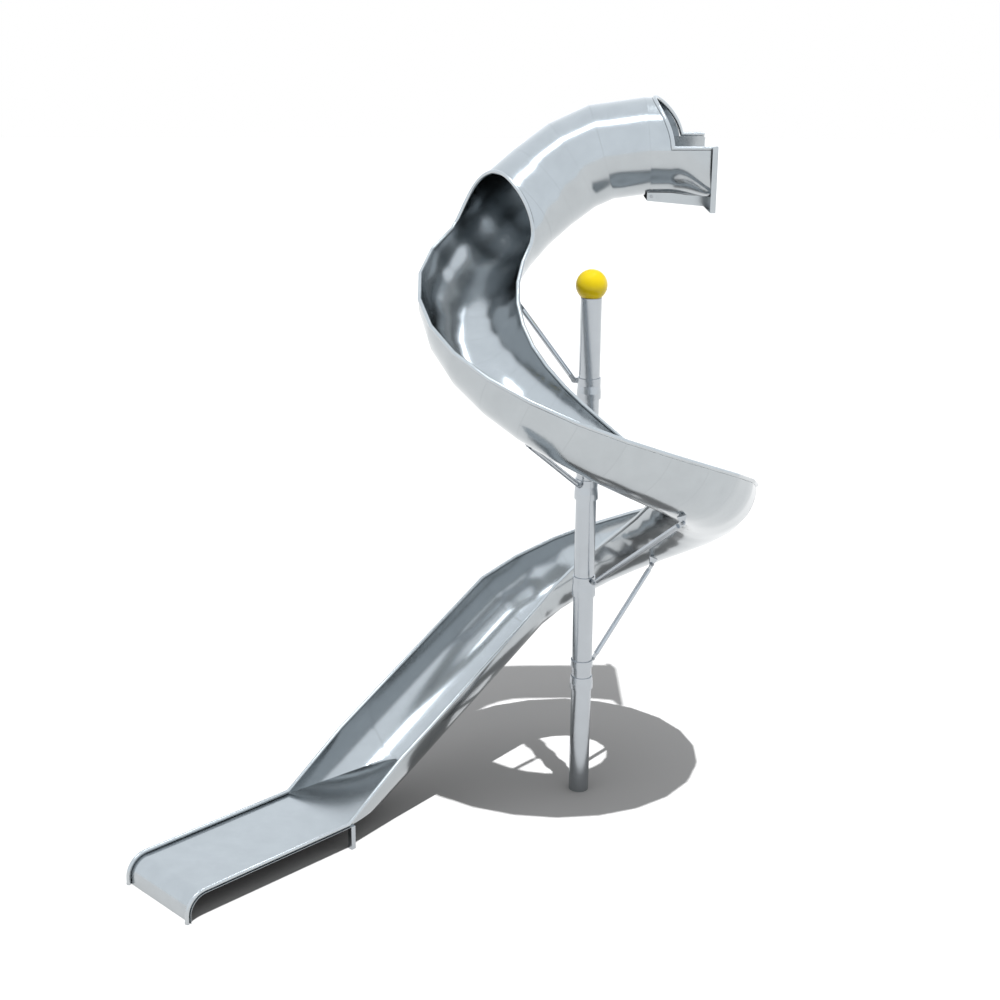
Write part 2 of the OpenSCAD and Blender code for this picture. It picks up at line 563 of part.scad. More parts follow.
module brace_bolts() color(zinc) for (b = BRACES) brace_frame(b) for (x = [0, reach(b)])
    translate([x, tab_t * 1.5, 0]) rotate([90, 0, 0]) {
        translate([0, 0, -head_t]) cylinder(r = head_r, h = head_t, $fn = 6);
        cylinder(r = bolt_r, h = 2 * tab_t + head_t + bolt_out, $fn = 24);
    }
module brace_nuts() color(zinc) for (b = BRACES) brace_frame(b) for (x = [0, reach(b)])
    translate([x, -tab_t / 2, 0]) rotate([90, 0, 0]) difference() {
        cylinder(r = head_r, h = head_t, $fn = 6);
        translate([0, 0, -1]) cylinder(r = bolt_r + seat_gap, h = head_t + 2, $fn = 24);
    }

start_flange();
start_trough();
start_apron();
apron_bolts();
entry_hood();
entry_rim();
tube_upper();
tube_lower();
mouth_rim();
trough(6, 10);  // trough_1
trough(10, 14);  // trough_2
trough(14, 18);  // trough_3
trough(18, 22);  // trough_4
trough(22, 26);  // trough_5
trough(26, 29);  // trough_6
trough(29, 30);  // trough_straight
run_out_transition();
run_out_bed();
outer_rim(7, 10);  // outer_rim_1
outer_rim(10, 14);  // outer_rim_2
outer_rim(14, 18);  // outer_rim_3
outer_rim(18, 22);  // outer_rim_4
outer_rim(22, 26);  // outer_rim_5
outer_rim(26, 29);  // outer_rim_6
outer_rim(29, 30);  // outer_rim_straight
outer_rim_run_out();
inner_rim(7, 10);  // inner_rim_1
inner_rim(10, 14);  // inner_rim_2
inner_rim(14, 18);  // inner_rim_3
inner_rim(18, 22);  // inner_rim_4
inner_rim(22, 26);  // inner_rim_5
inner_rim(26, 29);  // inner_rim_6
inner_rim(29, 30);  // inner_rim_straight
inner_rim_run_out();
legs();
post_foot();  // post_1
post_part(1);  // post_2
post_part(2);  // post_3
post_part(3);  // post_4
post_part(4);  // post_5
collar(0);  // collar_1
collar(1);  // collar_2
collar(2);  // collar_3
collar(3);  // collar_4
post_plug();
ball();
clamp(BRACES[0]);  // clamp_1
clamp(BRACES[1]);  // clamp_2
clamp(BRACES[2]);  // clamp_3
clamp(BRACES[3]);  // clamp_4
brace(BRACES[0]);  // brace_1
brace(BRACES[1]);  // brace_2
brace(BRACES[2]);  // brace_3
brace(BRACES[3]);  // brace_4
bracket(BRACES[0]);  // bracket_1
bracket(BRACES[1]);  // bracket_2
bracket(BRACES[2]);  // bracket_3
bracket(BRACES[3]);  // bracket_4
brace_bolts();
brace_nuts();
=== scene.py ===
# %% [markdown]
# # Looks of a stainless steel spiral slide
#
# The CAD model gives every part its place and its size. This script keeps that
# frame and gives it the look of the real thing: rolled steel sheet, welded
# seams, edge tubes and a yellow ball.
#
# First the frame is loaded. The finished looks have to stay inside it.

import math

import bmesh
import bpy
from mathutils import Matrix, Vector


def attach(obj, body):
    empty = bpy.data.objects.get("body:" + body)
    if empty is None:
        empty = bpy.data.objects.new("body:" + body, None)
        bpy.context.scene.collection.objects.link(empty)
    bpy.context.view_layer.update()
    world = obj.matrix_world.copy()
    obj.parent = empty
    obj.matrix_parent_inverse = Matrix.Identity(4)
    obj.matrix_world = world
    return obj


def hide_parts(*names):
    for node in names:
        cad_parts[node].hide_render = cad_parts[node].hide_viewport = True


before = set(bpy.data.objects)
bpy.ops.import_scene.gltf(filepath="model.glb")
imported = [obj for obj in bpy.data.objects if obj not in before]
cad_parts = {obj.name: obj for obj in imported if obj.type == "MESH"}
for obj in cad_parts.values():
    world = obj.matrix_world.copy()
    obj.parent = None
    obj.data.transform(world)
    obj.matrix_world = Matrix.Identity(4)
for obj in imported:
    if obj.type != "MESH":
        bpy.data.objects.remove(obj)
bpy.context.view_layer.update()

# %% [markdown]
# ## The course
#
# A real spiral slide is not bent from one sheet. It is welded from short
# straight lengths of round trough. Where two lengths meet, both are cut on the
# plane half way between them, as a welder mitres a pipe.
#
# A curve with a bevel would give a smooth spiral without those cuts. So the
# course is a chain of stations, each with its mitre plane. The driving sizes
# are the CAD model's own, so the finer surfaces land exactly on the CAD ones.

# %% Driving sizes of the course, in metres and degrees
turn_radius = 0.965
start_axis_z = 5.375
start_heading, turn_step = 180, 15
start_len, ease_len_1, ease_len_2 = 0.525, 0.370, 0.240
bed_z, bed_lead = 0.205, 0.320
shell_r, sheet = 0.390, 0.003
inner_r, edge_r = shell_r - sheet, shell_r - sheet / 2
arc_first, arc_last, last_st = 3, 28, 30
slopes = [0, 8, 24.5] + [34.5] * 3 + [29] * 5 + [27.9] * 10 + [29.2] * 8 + [28.8]
straight_slope = slopes[-1]
print("pieces of the course:", len(slopes), "steepest:", max(slopes), "degrees")

# %% Plan lengths of the pieces
piece_c = 2 * turn_radius * math.tan(math.radians(turn_step / 2))
plan = [start_len, ease_len_1, ease_len_2] + [piece_c] * (arc_last - arc_first + 1)
fall = sum(length * math.tan(math.radians(slopes[k])) for k, length in enumerate(plan))
end_z = bed_z + inner_r
straight_plan = (start_axis_z - fall - end_z) / math.tan(math.radians(straight_slope))
plan.append(straight_plan - bed_lead)
start_x = start_len + ease_len_1 + ease_len_2 - piece_c / 2
print("a piece of the curve:", round(piece_c, 3), "the straight:", round(plan[-1], 3))


# %% Stations of the course
def heading(k):
    """Direction of piece k seen from above, in degrees."""
    return start_heading + turn_step * max(0, min(k, arc_last + 1) - arc_first + 1)


def turned(degrees):
    """Unit vector at that angle from +X in the ground plane."""
    return Vector((math.cos(math.radians(degrees)), math.sin(math.radians(degrees)), 0))


stations = [Vector((start_x, turn_radius, start_axis_z))]
tangents = []
for k in range(last_st):
    direction = turned(heading(k)) - Vector((0, 0, math.tan(math.radians(slopes[k]))))
    stations.append(stations[-1] + plan[k] * direction)
    tangents.append(direction.normalized())
run_dir = turned(heading(last_st - 1))
print("stations:", len(stations), "run-out starts at", [round(c, 3) for c in stations[-1]])

# %% [markdown]
# A curve pushes the rider outwards, so the real trough leans towards the post.
# The lean could be a twist of the finished mesh. It is a tilt of the mitre
# planes instead, because the start and the run-out have to stay level.

# %% Banked mitre planes
bank, lower_bank = 4.6, 2.2
bank_stations = [(2, 0), (5, bank), (16, bank), (21, lower_bank)]


def bank_at(k):
    """Tilt of the trough towards the post at station k, in degrees."""
    if k == last_st or k <= bank_stations[0][0]:
        return 0
    for (k0, b0), (k1, b1) in zip(bank_stations, bank_stations[1:]):
        if k <= k1:
            return b0 + (b1 - b0) * (k - k0) / (k1 - k0)
    return lower_bank


across, upward = [], []
for k in range(last_st + 1):
    plane = run_dir if k == last_st else (tangents[max(k - 1, 0)] + tangents[k]).normalized()
    lateral = Vector((plane.y, -plane.x, 0)).normalized()
    up = lateral.cross(plane)
    tilt = math.radians(bank_at(k))
    across.append(lateral * math.cos(tilt) + up * math.sin(tilt))
    upward.append(up * math.cos(tilt) - lateral * math.sin(tilt))


def at(k, u, v):
    """Point of the cross-section on the mitre plane of station k."""
    w = u * across[k] + v * upward[k]
    t = tangents[min(k, last_st - 1)]
    return stations[k] + w * (w.length / (w - w.dot(t) * t).length)


print("lean at the stations:", [round(bank_at(k), 1) for k in range(last_st + 1)])

# %% [markdown]
# ## Rolled sheet
#
# A piece between two mitres is a true cylinder with slanted ends. Faces drawn
# straight from ring to ring would cut across its curve. So the end rings are
# joined by rows in between, and each row is pushed out to the cylinder. The
# sheet then looks rolled and not folded. Two rows lie close to each mitre,
# which keeps the seam narrow.

# %% Columns and rows of a shell
turn_cols = 60
row_places = [0, 0.02, 0.25, 0.5, 0.75, 0.98]


def angles(first, last, cols, closed=False):
    """Angles of the columns round the section, in radians."""
    count = cols if closed else cols + 1
    return [math.radians(first + (last - first) * i / cols) for i in range(count)]


def ring(k, r, turn):
    """Ring of points on the mitre plane of station k."""
    return [at(k, r * math.cos(a), r * math.sin(a)) for a in turn]


def row_stations(a, b):
    """Fractional stations of the rows from station a to station b."""
    return [k + place for k in range(a, b) for place in row_places] + [b]


print("rows of a section of four pieces:", len(row_stations(0, 4)))


# %% Points of a shell on its cylinders
def pushed_out(p, k, r):
    """Moves a point straight away from the axis of piece k on to its cylinder."""
    t = tangents[k]
    foot = stations[k] + (p - stations[k]).dot(t) * t
    return foot + (p - foot).normalized() * r


def on_piece(f, r, a):
    """Point of the shell at a fractional station f and angle a."""
    k = min(max(math.ceil(f) - 1, 0), last_st - 1)
    p, q = (at(i, r * math.cos(a), r * math.sin(a)) for i in (k, k + 1))
    return pushed_out(p.lerp(q, f - k), k, r)


def rolled(a, b, r, turn):
    """Rows of the shell from station a to station b."""
    return [[on_piece(f, r, a) for a in turn] for f in row_stations(a, b)]


print("lowest point of the shell at station 10:", round(on_piece(10, shell_r, -math.pi / 2).z, 3))

# %% [markdown]
# A welder grinds and dresses the sheet on both sides of a seam, so on the real
# slide a reflection bends round the corner and doesn't break. Shade Smooth
# would blend over whole faces. Here the normals are worked out: each is the
# cylinder's own, and near a mitre the normals of both pieces run together.

# %% Normals that run together at a mitre
dressed = 0.22
on_the_mitre = 1e-6


def away_from(k, p):
    """Direction from the axis of piece k to a point."""
    w = p - stations[k]
    return (w - w.dot(tangents[k]) * tangents[k]).normalized()


def shell_normal(f, p):
    """Outward normal of the shell at point p, blended near the mitres."""
    k = min(int(f + on_the_mitre), last_st - 1)
    s = f - k
    own = away_from(k, p)
    if s < dressed and k >= arc_first:
        share, other = 1 - s / dressed, away_from(k - 1, p)
    elif s > 1 - dressed and k < last_st - 1:
        share, other = (s - 1 + dressed) / dressed, away_from(k + 1, p)
    else:
        return own
    return own.lerp((own + other).normalized(), share).normalized()


print("share of a piece that is dressed at each end:", dressed)

# %% [markdown]
# Sheet has two faces and a cut edge. A Solidify modifier would give it a
# thickness, but its ends would stand square to the surface and not lie on the
# mitre plane. So a sheet is closed between two grids, its outside and its
# inside, and both end on the same planes.
#
# Every loop gets a UV of its own: U is the way round the section and V the way
# along the course, both in metres. The grinding marks follow V later.

# %% Faces of a closed sheet
sharp_bend = 0.6


def lengths(points):
    """Running length along a list of points."""
    total, made = 0.0, [0.0]
    for p, q in zip(points, points[1:]):
        total += (q - p).length
        made.append(total)
    return made


def sheet_faces(rows, cols, closed):
    """Side (1 outside, -1 inside, 0 cut edge) and (grid, row, column) of each corner."""
    last = cols if closed else cols - 1
    for r in range(rows - 1):
        for c in range(last):
            corners = [(r, c), (r + 1, c), (r + 1, c + 1), (r, c + 1)]
            yield 1, [(0, *corner) for corner in corners]
            yield -1, [(1, *corner) for corner in reversed(corners)]
    end = rows - 1
    for c in range(last):
        yield 0, [(0, 0, c), (0, 0, c + 1), (1, 0, c + 1), (1, 0, c)]
        yield 0, [(0, end, c), (1, end, c), (1, end, c + 1), (0, end, c + 1)]
    if not closed:
        side = cols - 1
        for r in range(end):
            yield 0, [(0, r, 0), (1, r, 0), (1, r + 1, 0), (0, r + 1, 0)]
            yield 0, [(0, r, side), (0, r + 1, side), (1, r + 1, side), (1, r, side)]


print("faces of a sheet of 3 by 3 points:", len(list(sheet_faces(3, 3, False))))


# %% Mesh of a closed sheet
def sheet_mesh(name, front, back, closed, places, seams):
    """Mesh between two grids of points, with UVs, seams and its own normals.

    places has the fractional station of each point of the front grid, for the
    normals of a rolled shell; seams has the rows that are welded."""
    rows, cols = len(front), len(front[0])
    bm = bmesh.new()
    uv = bm.loops.layers.uv.new("UVMap")
    out = bm.loops.layers.float_vector.new("Out")
    seam = bm.verts.layers.float.new("Seam")
    grids = [[[bm.verts.new(p) for p in row] for row in grid] for grid in (front, back)]
    middle = front[rows // 2]
    round_len = lengths(middle + middle[:1] if closed else middle)
    along_len = lengths([row[cols // 2] for row in front])
    for r in seams:
        for vert in grids[0][r] + grids[1][r]:
            vert[seam] = 1.0
    for side, corners in sheet_faces(rows, cols, closed):
        made = bm.faces.new([grids[g][r][c % cols] for g, r, c in corners])
        made.smooth = True
        marks = corners if side else corners[:1] * len(corners)
        for loop, (g, r, c) in zip(made.loops, marks):
            loop[uv].uv = (round_len[c], along_len[r])
            if places and side:
                loop[out] = side * shell_normal(places[r][c % cols], loop.vert.co)
    bm.normal_update()
    if bm.calc_volume(signed=True) < 0:
        bmesh.ops.reverse_faces(bm, faces=bm.faces)
        bm.normal_update()
    for edge in bm.edges:
        edge.smooth = edge.calc_face_angle(0.0) < sharp_bend
    mesh = bpy.data.meshes.new(name)
    bm.to_mesh(mesh)
    bm.free()
    if places:
        mesh.normals_split_custom_set([item.vector for item in mesh.attributes["Out"].data])
    mesh.attributes.remove(mesh.attributes["Out"])
    return mesh


print("an edge is sharp past", round(math.degrees(sharp_bend)), "degrees")


# %% Object of a closed sheet
def sheet_body(name, front, back, finish, slot="slide_steel", closed=False, places=None, seams=()):
    """Object of a closed sheet with its finish; the slot argument is not used."""
    piece = bpy.data.objects.new(name, sheet_mesh(name, front, back, closed, places, seams))
    bpy.context.scene.collection.objects.link(piece)
    piece.data.materials.append(finish)
    return piece


def stand_for(piece, node):
    """Puts a finer piece in the place of a CAD node."""
    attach(piece, "root")
    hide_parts(node)


# %% [markdown]
# ## Finishes
#
# Ground stainless steel is bright but not a mirror. Fine marks run along the
# course, so light smears a little across them, and the rolled sheet is never
# quite flat. An image of scratches would repeat and need its own UV scale. A
# few noises do the same at any size.
#
# The small helpers below place the nodes that every finish here uses.

# %% Node helpers
noise_span = (0.3, 0.7)


def new_material(name):
    """Material with nodes; returns it, its node tree and its shader."""
    material = bpy.data.materials.new(name)
    material.use_nodes = True
    return material, material.node_tree, material.node_tree.nodes["Principled BSDF"]


def noise_node(tree, coords, scale, detail, rough=0.5):
    """Noise texture that reads the given vector; returns its value socket."""
    node = tree.nodes.new("ShaderNodeTexNoise")
    node.inputs["Scale"].default_value = scale
    node.inputs["Detail"].default_value = detail
    node.inputs["Roughness"].default_value = rough
    tree.links.new(coords, node.inputs["Vector"])
    return node.outputs[0]


def map_range(tree, value, low, high, new_low, new_high):
    """Map Range node; returns its result socket."""
    node = tree.nodes.new("ShaderNodeMapRange")
    for i, number in enumerate((low, high, new_low, new_high), start=1):
        node.inputs[i].default_value = number
    tree.links.new(value, node.inputs[0])
    return node.outputs[0]


print("noise is read between", noise_span)


# %% Colour and bump helpers
def shaded(color, share):
    """The colour, darker by that share."""
    return tuple(c * share for c in color)


def mix_node(tree, factor, first, second):
    """Mix of two colours; the first is a colour or a socket."""
    node = tree.nodes.new("ShaderNodeMix")
    node.data_type = "RGBA"
    if isinstance(first, tuple):
        node.inputs["A"].default_value = (*first, 1)
    else:
        tree.links.new(first, node.inputs["A"])
    node.inputs["B"].default_value = (*second, 1)
    tree.links.new(factor, node.inputs["Factor"])
    return node.outputs["Result"]


def bump_node(tree, height, strength, distance, normal=None):
    """Bump node; returns its normal socket."""
    node = tree.nodes.new("ShaderNodeBump")
    node.inputs["Strength"].default_value = strength
    node.inputs["Distance"].default_value = distance
    tree.links.new(height, node.inputs["Height"])
    if normal:
        tree.links.new(normal, node.inputs["Normal"])
    return node.outputs["Normal"]


print("a mid grey shaded by half:", shaded((0.5, 0.5, 0.5), 0.5))

# %% [markdown]
# Streaks, waves and stains are the same on every metal of the slide, only
# stronger or weaker. So one node group makes them, and each metal uses it with
# its own values. The group puts out values only; the shader stays outside.

# %% Node group for ground metal
marks_across, marks_along = 420, 6


def ground_metal_group():
    """Streaks along V, waves of the sheet and stains, from two vectors."""
    group = bpy.data.node_groups.new("ground_metal", "ShaderNodeTree")
    face = group.interface
    face.new_socket("Vector", in_out="INPUT", socket_type="NodeSocketVector")
    face.new_socket("Place", in_out="INPUT", socket_type="NodeSocketVector")
    for name in ("Streaks", "Waves", "Stains"):
        face.new_socket(name, in_out="OUTPUT", socket_type="NodeSocketFloat")
    start = group.nodes.new("NodeGroupInput")
    end = group.nodes.new("NodeGroupOutput")
    stretch = group.nodes.new("ShaderNodeMapping")
    stretch.inputs["Scale"].default_value = (marks_across, marks_along, marks_across)
    group.links.new(start.outputs["Vector"], stretch.inputs["Vector"])
    place = start.outputs["Place"]
    streaks = noise_node(group, stretch.outputs["Vector"], scale=1.0, detail=4.0, rough=0.6)
    group.links.new(streaks, end.inputs["Streaks"])
    group.links.new(noise_node(group, place, scale=2.3, detail=1.0), end.inputs["Waves"])
    stains = noise_node(group, place, scale=6.0, detail=5.0, rough=0.62)
    group.links.new(stains, end.inputs["Stains"])
    return group


ground_metal = ground_metal_group()
print("node group:", ground_metal.name, "with", len(ground_metal.nodes), "nodes")

# %% [markdown]
# Each metal reads the group. The streaks vary its roughness and its fine bump,
# the waves bend the surface, and the stains shift its colour a little. Where
# the mesh says Seam, the colour darkens to a faint weld line.
#
# Sheet and edge tubes follow their UV, so the marks run along the course. CAD
# meshes have no UV, so their marks follow the object's own coordinates.

# %% Metal material
stain_shade, weld_shade, weld_edge = 0.93, 0.88, 0.2
streak_depth, wave_depth = 0.0002, 0.01


def metal(name, color, rough, spread, streak_bump, wave_bump, use_uv=False):
    """Metal whose colour, roughness and normal vary with the ground-metal group."""
    material, tree, shader = new_material(name)
    shader.inputs["Metallic"].default_value = 1.0
    places = tree.nodes.new("ShaderNodeTexCoord")
    marks = tree.nodes.new("ShaderNodeGroup")
    marks.node_tree = ground_metal
    tree.links.new(places.outputs["UV" if use_uv else "Object"], marks.inputs["Vector"])
    tree.links.new(places.outputs["Object"], marks.inputs["Place"])
    stained = map_range(tree, marks.outputs["Stains"], *noise_span, 0, 1)
    tint = mix_node(tree, stained, shaded(color, stain_shade), color)
    weld = tree.nodes.new("ShaderNodeAttribute")
    weld.attribute_name = "Seam"
    burnt = map_range(tree, weld.outputs["Fac"], weld_edge, 1.0, 0, 1)
    seen_color = mix_node(tree, burnt, tint, shaded(color, weld_shade))
    tree.links.new(seen_color, shader.inputs["Base Color"])
    dull = map_range(tree, marks.outputs["Streaks"], *noise_span, rough - spread, rough + spread)
    tree.links.new(dull, shader.inputs["Roughness"])
    waved = bump_node(tree, marks.outputs["Waves"], wave_bump, wave_depth)
    streaked = bump_node(tree, marks.outputs["Streaks"], streak_bump, streak_depth, waved)
    tree.links.new(streaked, shader.inputs["Normal"])
    return material


sheet_steel = metal("sheet_steel", (0.42, 0.445, 0.46), rough=0.17, spread=0.03,
                    streak_bump=0.08, wave_bump=0.0012, use_uv=True)
plate_steel = metal("plate_steel", (0.43, 0.455, 0.47), rough=0.22, spread=0.03,
                    streak_bump=0.08, wave_bump=0.004)
rim_steel = metal("rim_steel", (0.46, 0.485, 0.50), rough=0.22, spread=0.03,
                  streak_bump=0.08, wave_bump=0.0012, use_uv=True)
post_steel = metal("post_steel", (0.42, 0.445, 0.47), rough=0.24, spread=0.04,
                   streak_bump=0.10, wave_bump=0.004)
zinc = metal("zinc", (0.36, 0.375, 0.39), rough=0.34, spread=0.06,
             streak_bump=0.2, wave_bump=0.004)
print("metals:", [m.name for m in (sheet_steel, plate_steel, rim_steel, post_steel, zinc)])

# %% [markdown]
# The ball on the post is moulded plastic. It could be one flat yellow, but real
# mouldings are a little uneven. So the yellow varies slightly in wide patches,
# the gloss varies with it, and a very fine bump gives the orange-peel surface.

# %% Yellow plastic
patch_shade = 0.92
gloss_low, gloss_high = 0.24, 0.34
peel_bump, peel_depth = 0.08, 0.0005


def gloss_plastic(name, color):
    """Moulded plastic with a little unevenness in colour and surface."""
    material, tree, shader = new_material(name)
    shader.inputs["Specular IOR Level"].default_value = 0.25
    shader.inputs["Coat Weight"].default_value = 0.08
    shader.inputs["Coat Roughness"].default_value = 0.12
    places = tree.nodes.new("ShaderNodeTexCoord").outputs["Object"]
    patches = noise_node(tree, places, scale=9.0, detail=3.0)
    peel = noise_node(tree, places, scale=260.0, detail=2.0)
    tint = mix_node(tree, patches, shaded(color, patch_shade), color)
    tree.links.new(tint, shader.inputs["Base Color"])
    gloss = map_range(tree, patches, *noise_span, gloss_low, gloss_high)
    tree.links.new(gloss, shader.inputs["Roughness"])
    tree.links.new(bump_node(tree, peel, peel_bump, peel_depth), shader.inputs["Normal"])
    return material


yellow = gloss_plastic("yellow_plastic", (0.80, 0.60, 0.0))
print("plastic:", yellow.name)

# %% [markdown]
# ## Finishes on the CAD parts
#
# The post, plates, clamps, braces and bolts already have their real shape.
# Making them again would only risk an error, so they keep their CAD mesh and
# get a finish. The slot of each material says which one.

# %% Dress the CAD nodes
finish_of_slot = {
    "slide_steel": plate_steel,
    "rim_steel": plate_steel,
    "post_steel": post_steel,
    "zinc": zinc,
    "yellow_plastic": yellow,
}
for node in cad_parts.values():
    for slot in node.material_slots:
        wanted = [finish for key, finish in finish_of_slot.items() if key in slot.material.name]
        slot.material = wanted[0] if wanted else plate_steel
print("dressed CAD nodes:", len(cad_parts))

# %% [markdown]
# ## Open trough
#
# The rider sits in half a turn of sheet: six curved sections that a lorry can
# carry, and one straight one. Half a cylinder could be spun for each piece and
# cut with a bisecting plane. The grid of stations already has both the pieces
# and their cuts, so each section is one grid.

# %% Trough sections
half_turn = angles(0, -180, turn_cols)
section_ends = [6, 10, 14, 18, 22, 26, 29]


def trough(name, node, a, b):
    """Open half shell from station a to station b."""
    rows = row_stations(a, b)
    piece = sheet_body(name, rolled(a, b, shell_r, half_turn), rolled(a, b, inner_r, half_turn),
                       finish=sheet_steel, places=[[f] * len(half_turn) for f in rows],
                       seams=[i for i, f in enumerate(rows) if f == int(f)])
    stand_for(piece, node)


for i, (a, b) in enumerate(zip(section_ends, section_ends[1:]), start=1):
    trough(f"trough_sheet_{i}", f"trough_{i}", a, b)
trough("trough_sheet_straight", "trough_straight", section_ends[-1], last_st)
print("trough sections:", len(section_ends))

# %% [markdown]
# ## Closed tube
#
# Near the start, high above the ground, the sheet closes to a full round. Its
# mouth is cut on a slant: the top is held back up the slope, and the cut comes
# down in a rounded line to the edges of the open trough.
#
# A Boolean would cut that mouth and leave a ragged row of small faces. Here
# the last rows lean over step by step until they lie on the cut, so the faces
# stay even and the edge tube can follow the same line.

# %% Mouth of the tube
slant_st, mouth_st = 5, section_ends[0]
mouth_lean, mouth_round, mouth_rows = 0.350, 0.8, 8
mouth_span = mouth_lean * math.cos(math.radians(slopes[slant_st])) / piece_c


def mouth_f(a):
    """Fractional station of the mouth's edge at angle a round the section."""
    return mouth_st - mouth_span * max(0.0, math.sin(a)) ** mouth_round


print("the mouth's top is at station", round(mouth_f(math.pi / 2), 2), "its foot at", mouth_st)

# %% Tube sections
start_st, split_st = 1, 3
full_turn = angles(0, -360, 2 * turn_cols, closed=True)


def tube(name, node, rows):
    """Closed tube through rows of fractional stations, one value for each angle."""
    grids = [[[on_piece(f(a), r, a) for a in full_turn] for f in rows]
             for r in (shell_r, inner_r)]
    places = [[f(a) for a in full_turn] for f in rows]
    seams = [i for i, row in enumerate(places)
             if row[0] == int(row[0]) and max(row) == min(row)]
    piece = sheet_body(name, *grids, finish=sheet_steel, closed=True, places=places, seams=seams)
    stand_for(piece, node)


def level(f):
    """A row at one fractional station all the way round."""
    return lambda a: f


def leaning(share):
    """A row part of the way from the last level one to the mouth."""
    return lambda a: slant_st + (mouth_f(a) - slant_st) * share


upper_rows = [level(f) for f in row_stations(start_st, split_st)]
lower_rows = [level(f) for f in row_stations(split_st, slant_st)[:-1]]
lower_rows += [leaning(i / mouth_rows) for i in range(mouth_rows + 1)]
tube("tube_sheet_upper", "tube_upper", upper_rows)
tube("tube_sheet_lower", "tube_lower", lower_rows)
print("rows of the tube:", len(upper_rows), "and", len(lower_rows))

# %% [markdown]
# ## Start end
#
# At the flange the sheet is almost square, so that it meets the platform
# without a gap, and it turns round over a short way. A loft between a square
# and a circle would need matching corners. A superellipse gets there with one
# number: its exponent runs from nearly square to round.

# %% Start trough
square_end, square_len = 0.34, 0.350
outer_wall_up = 0.045
outer_a = math.asin(outer_wall_up / shell_r)
start_steps = 12


def squareness(x):
    """Exponent of the section at distance x from the flange; 1 is round."""
    s = min(1.0, x / square_len)
    return square_end + (1 - square_end) * s * s * (3 - 2 * s)


def start_row(x, r):
    """Section of the start trough at distance x from the flange."""
    e = squareness(x)
    row = [Vector((start_x - x, turn_radius + r * math.cos(outer_a),
                   start_axis_z + outer_wall_up))]
    for a in angles(0, 180, turn_cols):
        c, s = math.cos(a), max(0.0, math.sin(a))
        row.append(Vector((start_x - x, turn_radius + r * math.copysign(abs(c) ** e, c),
                           start_axis_z - r * s ** e)))
    return row


def start_grid(r):
    """Rows of the start trough; the last one lies where it meets the tube."""
    rows = [start_row(square_len * i / start_steps, r) for i in range(start_steps + 1)]
    edge = at(start_st, r * math.cos(outer_a), outer_wall_up)
    return rows + [[edge] + ring(start_st, r, half_turn)]


stand_for(sheet_body("start_sheet", start_grid(shell_r), start_grid(inner_r),
                     finish=sheet_steel), "start_trough")
print("start trough: nearly square at the flange, round after", square_len, "m")

# %% [markdown]
# The hood closes the top over the rider's head. Its front edge leans back and
# lies a little slanted, as if the tube had been cut with a curved blade. The
# rows run straight from that edge to the tube's first mitre.

# %% Hood
entry_back, entry_skew, entry_lean, entry_round = 0.285, 0.080, 0.200, 1.9
hood_steps = 3


def hood_x(a):
    """Place of the hood's edge along X at angle a."""
    lean = entry_lean * max(0.0, math.sin(a)) ** entry_round
    return start_x - entry_back + entry_skew * math.cos(a) - lean


def hood_rows(r):
    """Rows of the hood from its slanted edge to the tube."""
    turn = [math.pi - (math.pi - outer_a) * i / turn_cols for i in range(turn_cols + 1)]
    lift = [r * math.sin(a) for a in turn[:-1]] + [outer_wall_up]
    edge = [Vector((hood_x(a), turn_radius + r * math.cos(a), start_axis_z + z))
            for a, z in zip(turn, lift)]
    foot = [at(start_st, r * math.cos(a), z) for a, z in zip(turn, lift)]
    return [[p.lerp(q, i / hood_steps) for p, q in zip(edge, foot)]
            for i in range(hood_steps + 1)]


stand_for(sheet_body("hood_sheet", hood_rows(shell_r), hood_rows(inner_r),
                     finish=sheet_steel), "entry_hood")
print("hood: its top stands back by", round(start_x - hood_x(math.pi / 2), 3), "m")

# %% [markdown]
# ## Run-out
#
# At the bottom the round walls fall away and a flat bed takes over, so that the
# rider slows down. The bed curves up against the fall of the trough, and where
# the two meet there is a slanted crease. Drawing that crease by hand would
# never fit. Here every row is cut out of the same two shapes: the walls follow
# the trough's cylinder, and the flat follows the bed, so the crease is where
# they really cross.

# %% Heights along the run-out
wall_end, bed_curve, bed_before = 0.580, 3.250, 0.010
bed_start = wall_end - bed_before
run_zero = Vector((stations[-1].x, stations[-1].y, 0)) + bed_lead * run_dir
run_side_dir = Vector((-run_dir.y, run_dir.x, 0))


def run_pt(t, y, z):
    """Point of the run-out: t along, y to the left, z up."""
    return run_zero + t * run_dir + y * run_side_dir + Vector((0, 0, z))


def axis_z(t):
    """Height of the straight trough's axis at distance t."""
    return end_z - t * math.tan(math.radians(straight_slope))


def plate_z(t):
    """Height of the bed at distance t."""
    return bed_z + max(0.0, wall_end - t) ** 2 / (2 * bed_curve)


def wall_z(t):
    """Height of the side walls at distance t."""
    return axis_z(t) if t < 0 else end_z + (bed_z - end_z) * t / wall_end


print("bed height where it starts to curve up:", round(plate_z(wall_end), 3))

# %% Run-out transition
wall_cols, flat_cols = 24, 12
lead_rows, fall_rows = 8, 16
straight_cos = math.cos(math.radians(straight_slope))


def run_row(t, r, down):
    """Section of the run-out at distance t: wall, flat, wall."""
    def lift(z):
        return math.asin(max(-1.0, min(1.0, (z - axis_z(t)) * straight_cos / r)))

    def wall_pt(a, side):
        return run_pt(t, side * r * math.cos(a), axis_z(t) + r * math.sin(a) / straight_cos)

    top, low = lift(wall_z(t)), lift(plate_z(t) - down)
    half_w = r * math.cos(low)
    wall = [top + (low - top) * i / wall_cols for i in range(wall_cols + 1)]
    flat = [run_pt(t, half_w * (2 * i / flat_cols - 1), plate_z(t) - down)
            for i in range(1, flat_cols)]
    return [wall_pt(a, -1) for a in wall] + flat + [wall_pt(a, 1) for a in reversed(wall)]


